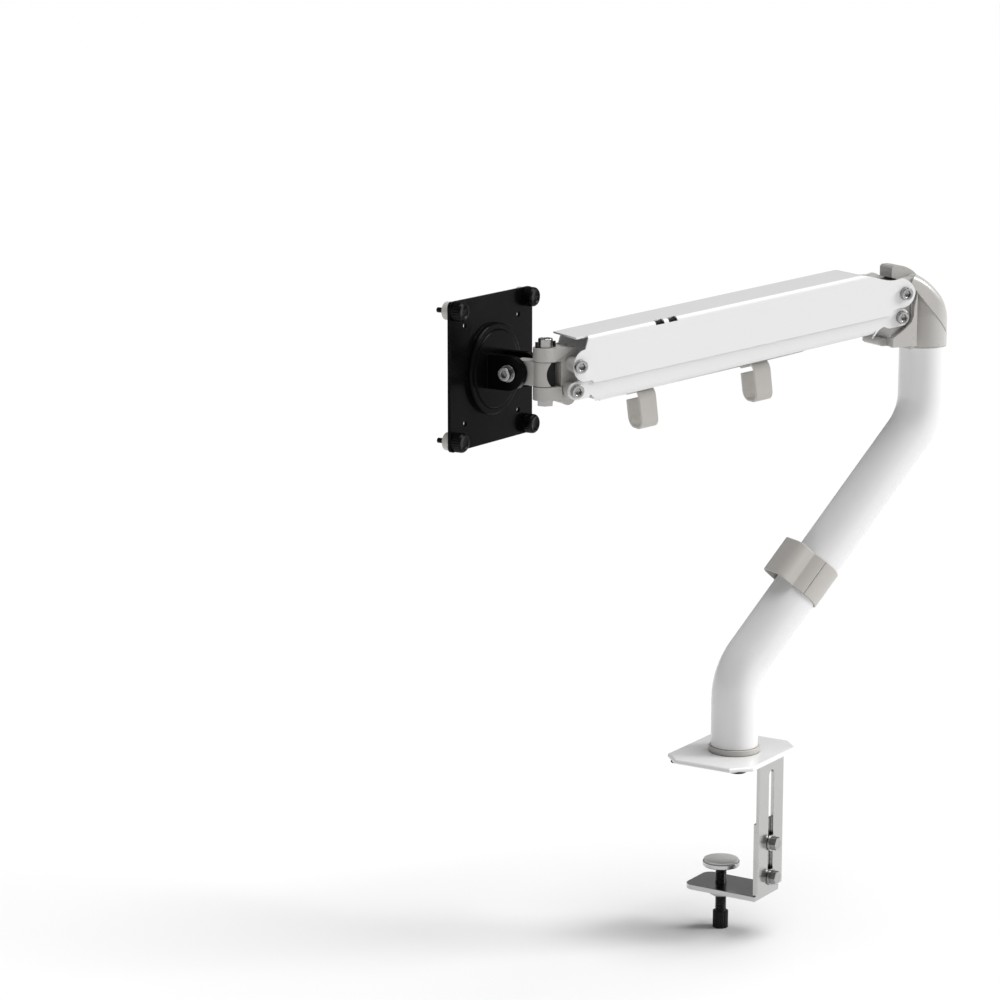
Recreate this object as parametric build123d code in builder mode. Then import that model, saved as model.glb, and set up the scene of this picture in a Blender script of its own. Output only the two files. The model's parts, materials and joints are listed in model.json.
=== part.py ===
from build123d import *
from math import cos, sin, radians
import os

os.makedirs("parts", exist_ok=True)

# ---------------------------------------------------------------- driving dimensions, mm
# The arm lies in one upright plane at rest, turned this far from +X about +Z.
arm_heading = -30.0

# Desk clamp
pad_thickness = 1.0
flange_thickness = 2.0
bracket_width = 40.0
bracket_thickness = 3.0
bracket_back_y = -34.5
bracket_drop = 108.0
jaw_thickness = 4.0
jaw_reach = 66.0
clamp_screw_y = 10.5
clamp_screw_radius = 4.6
clamp_screw_top = -94.0
clamp_screw_length = 38.0
knob_radius = 6.3
knob_height = 14.0
base_plate_size = (100.0, 78.0)
base_plate_top = 4.5
base_plate_centre_y = 2.0

# Lower arm
tube_radius = 19.0
tube_wall = 2.5
tube_bottom = 9.5
tube_top = 321.5
pole_reach = 172.0
lower_bend_height = 67.0
upper_bend_height = 263.5
bend_radius = 52.0
post_radius = 12.0
spindle_radius = 8.0

# Upper arm linkage: pivots as (distance along the arm plane, height)
rear_upper_pivot = (139.2, 368.0)
pivot_offset = (-2.2, -19.05)
arm_length = 296.0
arm_slope = 7.24
cover_half_width = 22.0
cover_wall = 1.4
cover_top = 21.5
cover_bottom = -15.0
link_half_width = 20.3
link_top = -11.0
link_bottom = -31.0
pivot_radius = 3.0
bush_radius = 4.4
bolt_head_radius = 5.2
bolt_head_height = 3.4

# Head
swivel_reach = -172.6
swivel_radius = 9.6
fork_low = 303.5
fork_high = 343.5
lug_height = 10.3
tilt_axis_y = 110.8
tilt_height = 323.2
plate_back_y = 134.6
plate_size = 115.0
plate_thickness = 2.6
vesa_pitch = 100.0
vesa_small_pitch = 75.0

# General fits
running = 0.05
gap = 0.3

# ---------------------------------------------------------------- the arm's plane
heading = radians(arm_heading)
along = Vector(cos(heading), sin(heading), 0)
across = Vector(sin(heading), -cos(heading), 0)
up = Vector(0, 0, 1)
slope = radians(arm_slope)
arm_direction = along * cos(slope) + up * sin(slope)

rear_lower_pivot = (rear_upper_pivot[0] + pivot_offset[0], rear_upper_pivot[1] + pivot_offset[1])
front_upper_pivot = (
    rear_upper_pivot[0] - arm_length * cos(slope),
    rear_upper_pivot[1] - arm_length * sin(slope),
)
front_lower_pivot = (front_upper_pivot[0] + pivot_offset[0], front_upper_pivot[1] + pivot_offset[1])
swivel_centre = along * swivel_reach
head_x = swivel_centre.X


def side_plane(w=0.0):
    """Upright plane along the arm, w millimetres to its near side."""
    return Plane(origin=across * w, x_dir=along, z_dir=across)


def level_plane(height, s=0.0):
    """Horizontal plane whose x runs along the arm, centred s along it."""
    return Plane(origin=along * s + up * height, x_dir=along, z_dir=up)


def sloped_plane(w=0.0):
    """Side plane that follows the upper arm, with its origin at the front upper pivot."""
    start = along * front_upper_pivot[0] + up * front_upper_pivot[1]
    return Plane(origin=start + across * w, x_dir=arm_direction, z_dir=across)


def head_plane(y, height=tilt_height):
    """Upright plane facing the screen, centred on the head."""
    return Plane(origin=(head_x, y, height), x_dir=(-1, 0, 0), z_dir=(0, 1, 0))


def tilt_plane(x=0.0):
    """Upright plane across the tilt axis, x millimetres to its right."""
    return Plane(origin=(head_x + x, tilt_axis_y, tilt_height), x_dir=(0, 1, 0), z_dir=(1, 0, 0))


def disc(plane, radius, length, bore=0.0):
    """A round piece or washer that starts on the plane and runs along its normal."""
    with BuildPart(mode=Mode.PRIVATE) as piece:
        with BuildSketch(plane):
            Circle(radius)
            if bore:
                Circle(bore, mode=Mode.SUBTRACT)
        extrude(amount=length)
    return piece.part


def save(name, part):
    """Labels one sub-part and writes it under its node name."""
    part.label = name
    export_step(part, "parts/" + name + ".step")
    print(name, round(part.volume))


# ================================================================ base, fixed to the desk
pad_size = (92.0, 66.0)
with BuildPart() as desk_pad:
    with BuildSketch(Plane.XY):
        with Locations((0, bracket_back_y + bracket_thickness + gap + pad_size[1] / 2)):
            RectangleRounded(*pad_size, 6)
    extrude(amount=pad_thickness)
save("desk_pad", desk_pad.part)

flange_top = pad_thickness + flange_thickness
flange_depth = 70.0
slot_width = 8.4
slot_length = 94.0
slot_middle = -53.4
with BuildPart() as upper_bracket:
    with BuildSketch(Plane.XY.offset(pad_thickness)):
        with Locations((0, bracket_back_y)):
            Rectangle(bracket_width, flange_depth, align=(Align.CENTER, Align.MIN))
    extrude(amount=flange_thickness)
    with BuildSketch(Plane.XZ.offset(-bracket_back_y)):
        with Locations((0, flange_top)):
            Rectangle(bracket_width, bracket_drop, align=(Align.CENTER, Align.MAX))
        with Locations((0, slot_middle)):
            SlotOverall(slot_length, slot_width, rotation=90, mode=Mode.SUBTRACT)
    extrude(amount=-bracket_thickness)
save("upper_bracket", upper_bracket.part)

corner_cut = 14.0
base_plate_bevel = 1.4
with BuildPart() as base_plate:
    with BuildSketch(Plane.XY.offset(pad_thickness)):
        with Locations((0, base_plate_centre_y)):
            Rectangle(*base_plate_size)
    extrude(amount=base_plate_top - pad_thickness)
    chamfer(base_plate.edges().filter_by(Axis.Z), corner_cut)
    chamfer(base_plate.faces().sort_by(Axis.Z)[-1].edges(), base_plate_bevel)
    with BuildSketch(Plane.XY.offset(pad_thickness)):
        with Locations((0, bracket_back_y - gap)):
            Rectangle(bracket_width + 2 * gap, flange_depth + 2 * gap, align=(Align.CENTER, Align.MIN))
    extrude(amount=flange_thickness, mode=Mode.SUBTRACT)
save("base_plate", base_plate.part)

post_top = 46.0
with BuildPart() as base_post:
    with BuildSketch(Plane.XY.offset(base_plate_top)):
        Circle(post_radius)
    extrude(amount=post_top - base_plate_top)
    chamfer(base_post.edges().sort_by(Axis.Z)[-1], 1)
save("base_post", base_post.part)

collar_height = tube_bottom - base_plate_top - gap
save("base_collar", disc(Plane.XY.offset(base_plate_top), tube_radius + 1.6, collar_height, post_radius))

# ================================================================ lower jaw, slides on the slotted bracket
jaw_top = -108.0
jaw_back_y = bracket_back_y + bracket_thickness
jaw_leg_height = 60.0
bolt_heights = (-67.0, -95.5)
bolt_radius = 4.0
with BuildPart() as lower_jaw:
    with BuildSketch(Plane.XY.offset(jaw_top - jaw_thickness)):
        with Locations((0, jaw_back_y)):
            Rectangle(bracket_width, jaw_reach, align=(Align.CENTER, Align.MIN))
    extrude(amount=jaw_thickness)
    fillet(lower_jaw.edges().filter_by(Axis.Z).group_by(Axis.Y)[-1], 8)
    with BuildSketch(Plane.XZ.offset(-jaw_back_y)):
        with Locations((0, jaw_top)):
            Rectangle(bracket_width - 4, jaw_leg_height, align=(Align.CENTER, Align.MIN))
    extrude(amount=-bracket_thickness)
    with BuildSketch(Plane.XZ.offset(-jaw_back_y)):
        with Locations(*[(0, height) for height in bolt_heights]):
            Circle(bolt_radius)
    extrude(amount=-bracket_thickness, mode=Mode.SUBTRACT)
    with BuildSketch(Plane.XY.offset(jaw_top - jaw_thickness)):
        with Locations((0, clamp_screw_y)):
            Circle(clamp_screw_radius + running)
    extrude(amount=jaw_thickness, mode=Mode.SUBTRACT)
save("lower_jaw", lower_jaw.part)

washer_face_y = bracket_back_y - gap
head_across = 5.6
with BuildPart() as jaw_bolts:
    for height in bolt_heights:
        with BuildSketch(Plane.XZ.offset(-washer_face_y)):
            with Locations((0, height)):
                Circle(head_across + 1.2)
        extrude(amount=1.4)
        with BuildSketch(Plane.XZ.offset(-washer_face_y + 1.4)):
            with Locations((0, height)):
                RegularPolygon(head_across, 6)
        extrude(amount=5)
        with BuildSketch(Plane.XZ.offset(-washer_face_y)):
            with Locations((0, height)):
                Circle(bolt_radius)
        extrude(amount=-(jaw_back_y + bracket_thickness - washer_face_y))
save("jaw_bolts", jaw_bolts.part)

nut_height = 5.0
with BuildPart() as jaw_nuts:
    with BuildSketch(Plane.XZ.offset(-(jaw_back_y + bracket_thickness))):
        with Locations(*[(0, height) for height in bolt_heights]):
            RegularPolygon(head_across, 6)
    extrude(amount=-nut_height)
save("jaw_nuts", jaw_nuts.part)

with BuildPart() as clamp_nut:
    with BuildSketch(Plane.XY.offset(jaw_top - jaw_thickness)):
        with Locations((0, clamp_screw_y)):
            RegularPolygon(9.5, 6)
            Circle(clamp_screw_radius + running, mode=Mode.SUBTRACT)
    extrude(amount=-6)
save("clamp_nut", clamp_nut.part)

# ================================================================ clamp pad and screw
def on_clamp_axis(height):
    """Horizontal plane centred on the clamp screw."""
    return Plane(origin=(0, clamp_screw_y, height))


pad_radius = 15.0
with BuildPart() as pressure_pad:
    with BuildSketch(on_clamp_axis(clamp_screw_top + gap)):
        Circle(pad_radius)
    extrude(amount=4)
    fillet(pressure_pad.edges().group_by(Axis.Z)[0], 1)
save("pressure_pad", pressure_pad.part)
save("pressure_pad_liner", disc(on_clamp_axis(clamp_screw_top + gap + 4), pad_radius - 1, 1.5))

with BuildPart() as clamp_screw:
    with BuildSketch(on_clamp_axis(clamp_screw_top - clamp_screw_length)):
        Circle(clamp_screw_radius)
    extrude(amount=clamp_screw_length)
    chamfer(clamp_screw.edges().sort_by(Axis.Z)[-1], 0.8)
save("clamp_screw", clamp_screw.part)

grip_depth = 0.9
grip_count = 12
with BuildPart() as clamp_knob:
    with BuildSketch(on_clamp_axis(clamp_screw_top - clamp_screw_length)):
        Circle(knob_radius)
        with PolarLocations(knob_radius + 0.4, grip_count):
            Circle(grip_depth, mode=Mode.SUBTRACT)
    extrude(amount=-knob_height)
save("clamp_knob", clamp_knob.part)

# ================================================================ lower arm
tube_inner = tube_radius - tube_wall
with BuildPart() as lower_tube:
    with BuildLine(side_plane()) as tube_path:
        FilletPolyline(
            (0, tube_bottom),
            (0, lower_bend_height),
            (pole_reach, upper_bend_height),
            (pole_reach, tube_top),
            radius=bend_radius,
        )
    with BuildSketch(level_plane(tube_bottom)):
        Circle(tube_radius)
        Circle(tube_inner, mode=Mode.SUBTRACT)
    sweep()
save("lower_tube", lower_tube.part)

save("base_bush", disc(Plane.XY.offset(tube_bottom), tube_inner, 28, post_radius + running))
save("elbow_bush", disc(level_plane(tube_top, pole_reach), tube_inner, -26, spindle_radius + running))

diagonal = Vector(pole_reach, upper_bend_height - lower_bend_height).normalized()


def tube_cross_plane(distance):
    """Plane square to the sloping stretch of the tube; x points to the upper left of it."""
    foot = along * (diagonal.X * distance) + up * (lower_bend_height + diagonal.Y * distance)
    return Plane(
        origin=foot,
        x_dir=along * -diagonal.Y + up * diagonal.X,
        z_dir=along * diagonal.X + up * diagonal.Y,
    )


collar_from = 82.0
collar_length = 32.0
collar_wall = 1.6
channel_depth = 11.0
channel_half = 13.0
clip_inner = tube_radius + 0.05
with BuildPart() as collar_back:
    with BuildSketch(tube_cross_plane(collar_from)):
        Circle(clip_inner + collar_wall)
        Circle(clip_inner, mode=Mode.SUBTRACT)
        with Locations((5, 0)):
            Rectangle(60, 60, align=(Align.MIN, Align.CENTER), mode=Mode.SUBTRACT)
    extrude(amount=collar_length)
save("collar_back", collar_back.part)

with BuildPart() as collar_front:
    with BuildSketch(tube_cross_plane(collar_from)):
        Circle(clip_inner + collar_wall)
        with Locations((clip_inner + 1, 0)):
            RectangleRounded(2 * channel_depth, 2 * (channel_half + collar_wall), 8)
        Circle(clip_inner, mode=Mode.SUBTRACT)
        with Locations((clip_inner + 1, 0)):
            RectangleRounded(2 * (channel_depth - collar_wall), 2 * channel_half, 6, mode=Mode.SUBTRACT)
        with Locations((5.2, 0)):
            Rectangle(60, 60, align=(Align.MAX, Align.CENTER), mode=Mode.SUBTRACT)
    extrude(amount=collar_length)
save("collar_front", collar_front.part)


# ================================================================ elbow knuckle, turns on the pole top
knuckle_bottom = tube_top + 0.8
ear_half = 17.3
nose_half = 8.5
rear_s, rear_z = rear_upper_pivot
rear_low_s, rear_low_z = rear_lower_pivot
cheek_rear = 150.8
rod_pin_radius = 2.5
rod_pin_point = (rear_s - 1.1, (rear_z + rear_low_z) / 2)
pocket_half = 7.5
pocket_outline = ((7.4, -7.2), (7.4, 7.2), (0, 7.4), (-14, 13.4), (-14, -12.0), (0, -7.4))
knuckle_depth = 2 * cover_half_width
hood_front = cheek_rear - 4
hood_rear = pole_reach + tube_radius
hood_height = 70.0
hood_round_from = 20.0
crown_round = 7.0
cheek_outline = (
    (128.4, knuckle_bottom + 2.8), (cheek_rear, knuckle_bottom + 2.8), (cheek_rear, 369.0), (149.8, 364.0),
    (147.9, 356.0), (147.7, 350.0), (145.6, 344.6), (139.6, 339.6), (128.4, 332.4),
)
# sides below the crown: cut back to the barrel, leaving a core
flank_outline = (
    (cheek_rear, knuckle_bottom), (hood_rear, knuckle_bottom), (hood_rear, 334.0), (184.0, 334.0),
    (cheek_rear, 369.8),
)
core_half = 9.0

with BuildPart() as elbow_knuckle:
    # hood: barrel on the pole axis under a crown that falls to the rear
    with BuildSketch(level_plane(knuckle_bottom)):
        with Locations((pole_reach, 0)):
            Circle(tube_radius)
        with Locations((hood_front, 0)):
            Rectangle(pole_reach - hood_front, 2 * tube_radius, align=(Align.MIN, Align.CENTER))
    extrude(amount=hood_height)
    with BuildSketch(side_plane(-knuckle_depth)):
        with BuildLine():
            Polyline((hood_front, 376), (hood_front, knuckle_bottom), (hood_rear, knuckle_bottom))
            Line((hood_rear, knuckle_bottom), (hood_rear, 334))
            ThreePointArc((hood_rear, 334), (174.5, 367.5), (hood_front, 384.5))
            Line((hood_front, 384.5), (hood_front, 376))
        make_face()
    extrude(amount=2 * knuckle_depth, mode=Mode.INTERSECT)
    crown = elbow_knuckle.faces().sort_by(Axis.Z)[-1].edges().filter_by(lambda e: e.length > hood_round_from)
    fillet(crown, crown_round)
    with BuildPart(mode=Mode.PRIVATE) as flanks:
        with BuildSketch(side_plane(-knuckle_depth)):
            Polygon(*flank_outline, align=None)
        extrude(amount=2 * knuckle_depth)
        with BuildSketch(level_plane(knuckle_bottom - 1, pole_reach)):
            Circle(tube_radius - 0.4)
            Rectangle(2 * tube_radius, 2 * core_half)
        extrude(amount=hood_height, mode=Mode.SUBTRACT)
    add(flanks.part, mode=Mode.SUBTRACT)
    # nose above the linkage
    with BuildSketch(side_plane(-nose_half)):
        with BuildLine():
            Polyline((134.6, 379.3), (134.6, 387), (136.2, 388.6), (141, 388.8))
            ThreePointArc((141, 388.8), (150, 386.5), (160, 378.8))
            Polyline((160, 378.8), (160, 372), (134.6, 379.3))
        make_face()
    extrude(amount=2 * nose_half)
    # ears that carry the two rear pivots
    with BuildSketch(side_plane(-ear_half)):
        with Locations(rear_upper_pivot):
            Circle(9.4)
        with Locations(rear_lower_pivot):
            Circle(9.0)
        with BuildLine():
            Polyline(
                (rear_s - 9.0, rear_z),
                (rear_low_s - 9.0, rear_low_z),
                (129.5, 334),
                (129.5, knuckle_bottom + 3),
                (cheek_rear, knuckle_bottom + 3),
                (cheek_rear, 380),
                (rear_s, 378),
                (rear_s - 9.0, rear_z),
            )
        make_face()
    extrude(amount=2 * ear_half)
    # lip below the link
    with BuildSketch(side_plane(-12)):
        with Locations((129.5, 328.3)):
            RectangleRounded(14, 6, 2.4)
    extrude(amount=24)
    # cheeks flush with the covers, both sides
    for start in (-cover_half_width, ear_half):
        with BuildSketch(side_plane(start)):
            Polygon(*cheek_outline, align=None)
        extrude(amount=cover_half_width - ear_half)
    # pocket for the gas spring rod, open to the front
    with BuildSketch(side_plane(-pocket_half)):
        with Locations(rod_pin_point):
            Polygon(*pocket_outline, align=None)
    extrude(amount=2 * pocket_half, mode=Mode.SUBTRACT)
    # pivot bores through both ears, and the spindle bore
    with BuildSketch(side_plane(-knuckle_depth)):
        with Locations(rear_upper_pivot, rear_lower_pivot):
            Circle(bush_radius)
        with Locations(rod_pin_point):
            Circle(rod_pin_radius)
    extrude(amount=2 * knuckle_depth, mode=Mode.SUBTRACT)
    with BuildSketch(level_plane(knuckle_bottom, pole_reach)):
        Circle(spindle_radius)
    extrude(amount=26, mode=Mode.SUBTRACT)
save("elbow_knuckle", elbow_knuckle.part)

# bolts, bushes and pins across the linkage; every one is centred on the arm's plane
def pivot_bolt(point, half_width):
    """Socket bolt along a pivot: head on the near side, nut on the far side."""
    clear = half_width + 0.1
    with BuildPart(mode=Mode.PRIVATE) as bolt:
        with BuildSketch(side_plane(-clear - bolt_head_height)):
            with Locations(point):
                Circle(pivot_radius)
        extrude(amount=2 * clear + bolt_head_height)
        with BuildSketch(side_plane(clear)):
            with Locations(point):
                Circle(bolt_head_radius)
        extrude(amount=bolt_head_height)
        with BuildSketch(side_plane(clear + bolt_head_height - 2.2)):
            with Locations(point):
                RegularPolygon(2.9, 6)
        extrude(amount=2.2, mode=Mode.SUBTRACT)
    return bolt.part


def pivot_nut(point, half_width):
    """Thin nut on the far end of a pivot bolt."""
    with BuildPart(mode=Mode.PRIVATE) as nut:
        with BuildSketch(side_plane(-half_width - 0.1)):
            with Locations(point):
                Circle(bolt_head_radius)
                Circle(pivot_radius, mode=Mode.SUBTRACT)
        extrude(amount=-bolt_head_height)
    return nut.part


def pivot_ring(point, w_start, width, outer):
    """Bush or washer on a pivot bolt, from one width to another."""
    with BuildPart(mode=Mode.PRIVATE) as ring:
        with BuildSketch(side_plane(w_start)):
            with Locations(point):
                Circle(outer)
                Circle(pivot_radius + running, mode=Mode.SUBTRACT)
        extrude(amount=width)
    return ring.part


bush_width = ear_half - pocket_half
washer_width = cover_half_width - cover_wall - ear_half - 0.1
save("rear_pivot_bolts", Compound([
    pivot_bolt(rear_upper_pivot, cover_half_width),
    pivot_bolt(rear_lower_pivot, link_half_width),
]))
save("rear_pivot_nuts", Compound([
    pivot_nut(rear_upper_pivot, cover_half_width),
    pivot_nut(rear_lower_pivot, link_half_width),
]))
save("rear_bushes", Compound([
    pivot_ring(point, start, bush_width, bush_radius)
    for point in (rear_upper_pivot, rear_lower_pivot)
    for start in (-ear_half, pocket_half)
]))
save("rear_washers", Compound([
    pivot_ring(rear_upper_pivot, start, washer_width, 6.5)
    for start in (-ear_half - washer_width, ear_half)
]))

spindle_length = 48.0
with BuildPart() as elbow_spindle:
    with BuildSketch(level_plane(knuckle_bottom + 26, pole_reach)):
        Circle(spindle_radius)
    extrude(amount=-spindle_length)
    chamfer(elbow_spindle.edges().sort_by(Axis.Z)[0], 1)
save("elbow_spindle", elbow_spindle.part)
elbow_seat = level_plane(tube_top + 0.1, pole_reach)
save("elbow_washer", disc(elbow_seat, tube_radius - 0.8, 0.7, spindle_radius + running))

with BuildPart() as rod_pin:
    with BuildSketch(side_plane(-ear_half)):
        with Locations(rod_pin_point):
            Circle(rod_pin_radius)
    extrude(amount=2 * ear_half)
save("rod_pin", rod_pin.part)

# ================================================================ upper cover, an inverted channel
inner_half = cover_half_width - cover_wall
cover_depth = cover_top - cover_wall - cover_bottom + 10
lobe = 9.5
top_round = 3.5
overhang_start = 1.0
overhang_end = 14.0
window_length = 7.5
window_inner = 16.0
window_depth = 3.2
window_places = (72.5, 84.0)
with BuildPart() as upper_cover:
    with BuildSketch(sloped_plane(-cover_half_width)):
        with BuildLine():
            Polyline((256.7, cover_top), (10.5, cover_top), (6.0, 11.8))
            Spline((6.0, 11.8), (-1.2, 8.6), (-5.4, 0.5), (-3.4, -8.6), (1.5, -12.6))
            Polyline((1.5, -12.6), (8.6, -12.6), (10.6, cover_bottom), (281.5, cover_bottom))
            Polyline((281.5, cover_bottom), (283.6, -11.6), (287.5, -11.0), (293, -11.0))
            ThreePointArc((293, -11.0), (301.9, -7.4), (arm_length + lobe, 0))
            ThreePointArc((arm_length + lobe, 0), (302.4, 7.0), (294, 12.6))
            Spline((294, 12.6), (282.4, 13.0), (270, 17.4), (256.7, cover_top))
        make_face()
    extrude(amount=2 * cover_half_width)
    rounded = upper_cover.edges().filter_by(lambda e: e.length > 200).group_by(Axis.Z)[-1]
    fillet(rounded, top_round)
    with BuildSketch(sloped_plane(-inner_half)):
        with Locations((arm_length / 2, cover_bottom - 10)):
            Rectangle(arm_length + 60, cover_depth, align=(Align.CENTER, Align.MIN))
    extrude(amount=2 * inner_half, mode=Mode.SUBTRACT)
    with BuildSketch(sloped_plane(-cover_half_width + top_round)):
        with Locations((overhang_start, cover_top)):
            Rectangle(overhang_end - overhang_start, cover_wall, align=(Align.MIN, Align.MAX))
    extrude(amount=2 * (cover_half_width - top_round))
    with BuildSketch(sloped_plane(-cover_half_width)):
        with Locations((0, 0), (arm_length, 0)):
            Circle(pivot_radius + running)
    extrude(amount=2 * cover_half_width, mode=Mode.SUBTRACT)
    top_plane = Plane(
        origin=sloped_plane().from_local_coords((0, cover_top, 0)),
        x_dir=arm_direction,
        z_dir=sloped_plane().y_dir,
    )
    with BuildSketch(top_plane):
        with Locations(*[(place, -window_inner) for place in window_places]):
            Rectangle(window_length, cover_half_width, align=(Align.CENTER, Align.MAX))
    extrude(amount=-window_depth, mode=Mode.SUBTRACT)
save("upper_cover", upper_cover.part)

with BuildPart() as gauge_insert:
    with BuildSketch(top_plane.offset(-cover_wall)):
        with Locations((78.0, -13.5)):
            Rectangle(26, 13)
    extrude(amount=-2.5)
save("gauge_insert", gauge_insert.part)

# ================================================================ gas spring and its tension screw
anchor_point = (58.0, -3.0)
anchor_radius = 3.0
pin_reach = rod_pin_point[0] - front_upper_pivot[0]
pin_rise = rod_pin_point[1] - front_upper_pivot[1]
rod_eye_local = (
    pin_reach * cos(slope) + pin_rise * sin(slope),
    -pin_reach * sin(slope) + pin_rise * cos(slope),
)
spring_span = Vector(rod_eye_local[0] - anchor_point[0], rod_eye_local[1] - anchor_point[1])
spring_length = spring_span.length
spring_axis = sloped_plane().x_dir * (spring_span.X / spring_length) + sloped_plane().y_dir * (
    spring_span.Y / spring_length
)


def spring_plane(distance):
    """Plane square to the gas spring, this far from its anchor."""
    start = sloped_plane().from_local_coords((anchor_point[0], anchor_point[1], 0))
    return Plane(origin=start + spring_axis * distance, x_dir=across, z_dir=spring_axis)


def spring_side_plane(distance, w):
    """Side plane at a point of the gas spring's axis."""
    start = sloped_plane().from_local_coords((anchor_point[0], anchor_point[1], 0))
    return Plane(origin=start + spring_axis * distance + across * w, x_dir=spring_axis, z_dir=across)


cylinder_radius = 9.0
cylinder_bore = 7.6
cylinder_start = 9.0
cylinder_end = 150.0
rod_radius = 4.0
with BuildPart() as gas_cylinder:
    with BuildSketch(spring_plane(cylinder_start)):
        Circle(cylinder_radius)
    extrude(amount=cylinder_end - cylinder_start)
    with BuildSketch(spring_plane(cylinder_start + 4)):
        Circle(cylinder_bore)
    extrude(amount=cylinder_end - cylinder_start - 10, mode=Mode.SUBTRACT)
    with BuildSketch(spring_plane(cylinder_end - 8)):
        Circle(rod_radius + running)
    extrude(amount=8, mode=Mode.SUBTRACT)
    with BuildSketch(spring_side_plane(0, -5)):
        Circle(6.5)
        Rectangle(10, 10, align=(Align.MIN, Align.CENTER))
    extrude(amount=10)
    with BuildSketch(spring_side_plane(0, -5)):
        Circle(anchor_radius)
    extrude(amount=10, mode=Mode.SUBTRACT)
save("gas_cylinder", gas_cylinder.part)

eye_bore = rod_pin_radius + 1.0
eye_radius = 5.1
shank_radius = 4.8
with BuildPart() as gas_rod:
    with BuildSketch(spring_plane(64)):
        Circle(rod_radius)
    extrude(amount=spring_length - 64 - eye_radius + 1.4)
    with BuildSketch(spring_plane(64)):
        Circle(cylinder_bore - running)
    extrude(amount=8)
save("gas_rod", gas_rod.part)

with BuildPart() as rod_eye:
    with BuildSketch(spring_side_plane(spring_length, -6)):
        Circle(eye_radius)
    extrude(amount=12)
    with BuildSketch(spring_plane(spring_length - 22)):
        Circle(shank_radius)
    extrude(amount=18)
    with BuildSketch(spring_side_plane(spring_length, -6)):
        Circle(eye_bore)
    extrude(amount=12, mode=Mode.SUBTRACT)
    with BuildSketch(spring_plane(spring_length - 22)):
        Circle(rod_radius)
    extrude(amount=22 - eye_radius + 1.4, mode=Mode.SUBTRACT)
save("rod_eye", rod_eye.part)

with BuildPart() as anchor_pin:
    with BuildSketch(sloped_plane(-inner_half)):
        with Locations(anchor_point):
            Circle(anchor_radius)
    extrude(amount=2 * inner_half)
save("anchor_pin", anchor_pin.part)

screw_radius = 3.0
block_x = (36.0, 46.0)
cross = Plane(
    origin=sloped_plane().from_local_coords((block_x[0], 0, 0)),
    x_dir=across * -1,
    z_dir=arm_direction,
)
with BuildPart() as tension_block:
    with BuildSketch(cross):
        with Locations((0, cover_top - cover_wall)):
            Rectangle(26, cover_top - cover_wall + 8, align=(Align.CENTER, Align.MAX))
        Circle(screw_radius + running, mode=Mode.SUBTRACT)
    extrude(amount=block_x[1] - block_x[0])
save("tension_block", tension_block.part)

with BuildPart() as tension_screw:
    with BuildSketch(cross.offset(-16)):
        Circle(screw_radius)
    extrude(amount=28)
    with BuildSketch(cross.offset(-16)):
        RegularPolygon(5.5, 6)
    extrude(amount=4.5)
save("tension_screw", tension_screw.part)

# ================================================================ lower link, a U channel nested in the cover
low = (
    pivot_offset[0] * cos(slope) + pivot_offset[1] * sin(slope),
    -pivot_offset[0] * sin(slope) + pivot_offset[1] * cos(slope),
)
link_wall = 1.8
link_inner = link_half_width - link_wall
with BuildPart() as lower_link:
    with BuildSketch(sloped_plane(-link_half_width)):
        with BuildLine():
            Line((low[0], low[1] + 7), (8, link_top))
            Line((8, link_top), (278, link_top))
            Line((278, link_top), (arm_length + low[0], low[1] + 7))
            ThreePointArc(
                (arm_length + low[0], low[1] + 7),
                (arm_length + low[0] + 7, low[1]),
                (arm_length + low[0], low[1] - 7),
            )
            Polyline(
                (arm_length + low[0], low[1] - 7),
                (279, -25.6),
                (274, -23),
                (269, -25.0),
                (262.5, link_bottom),
                (264, -28.6),
                (12.2, link_bottom),
                (10.8, -28.2),
                (7.6, -23.4),
                (5, -25.6),
                (low[0], low[1] - 7),
            )
            ThreePointArc((low[0], low[1] - 7), (low[0] - 7, low[1]), (low[0], low[1] + 7))
        make_face()
    extrude(amount=2 * link_half_width)
    soft = lower_link.edges().filter_by(lambda e: e.length > 240).group_by(Axis.Z)[0]
    fillet(soft, 5)
    with BuildSketch(sloped_plane(-link_inner)):
        with Locations((arm_length / 2, link_bottom + link_wall)):
            Rectangle(arm_length + 60, 60, align=(Align.CENTER, Align.MIN))
        with Locations((-40, link_bottom - 5), (245, link_bottom - 5)):
            Rectangle(56, 40, align=(Align.MIN, Align.MIN))
    extrude(amount=2 * link_inner, mode=Mode.SUBTRACT)
    with BuildSketch(sloped_plane(-link_half_width)):
        with Locations(low, (arm_length + low[0], low[1])):
            Circle(pivot_radius + running)
    extrude(amount=2 * link_half_width, mode=Mode.SUBTRACT)
save("lower_link", lower_link.part)

clip_half = 11.0
clip_drop = 32.5
clip_wall = 2.0
clip_length = 15.0
for clip_name, clip_x in (("front_cable_clip", 53.5), ("rear_cable_clip", 157.5)):
    hang = Plane(
        origin=sloped_plane().from_local_coords((clip_x, link_bottom, 0)),
        x_dir=across * -1,
        z_dir=arm_direction,
    )
    with BuildPart() as cable_clip:
        with BuildSketch(hang):
            with Locations((0, -clip_drop / 2)):
                RectangleRounded(2 * clip_half, clip_drop, 8)
                RectangleRounded(2 * (clip_half - clip_wall), clip_drop - 2 * clip_wall, 6, mode=Mode.SUBTRACT)
            with Locations((0, 0)):
                Rectangle(14, clip_wall, align=(Align.CENTER, Align.MAX))
            with Locations((clip_half, -9)):
                Rectangle(6, 4, mode=Mode.SUBTRACT)
        extrude(amount=clip_length)
    save(clip_name, cable_clip.part)

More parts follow.
